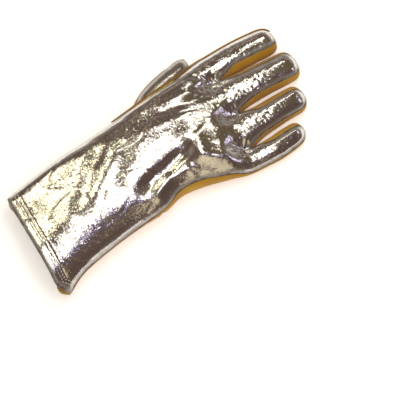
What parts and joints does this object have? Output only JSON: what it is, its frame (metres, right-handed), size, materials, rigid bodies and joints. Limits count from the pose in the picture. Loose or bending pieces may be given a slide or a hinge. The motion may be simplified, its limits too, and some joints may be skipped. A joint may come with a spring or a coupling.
{
  "type": "aluminized heat resistant glove",
  "caption": "Right-hand gauntlet glove with an aluminized back from cuff to fingertips and a leather palm side, lying palm down with its hollow open at the cuff.",
  "frame": {"origin": "on the surface that the glove lies on, under the middle of the wrist", "axes": "+Y towards the fingertips, +Z out of the back of the hand, -X towards the thumb"},
  "size_m": [0.1814, 0.3563, 0.0459],
  "materials": {
    "aluminized_fabric": "bright aluminium film on fabric, finely crinkled",
    "leather": "golden yellow cowhide, matt, with fine grain"
  },
  "bodies": {
    "root": {"back_panel": "aluminized_fabric", "gauntlet_palm": "leather", "palm_panel": "leather", "thumb_front": "leather", "thumb_wing": "aluminized_fabric", "fourchette_index_middle": "leather", "fourchette_middle_ring": "leather", "fourchette_ring_little": "leather", "welt_index_side": "leather", "welt_thumb": "leather"}
  },
  "joints": []
}
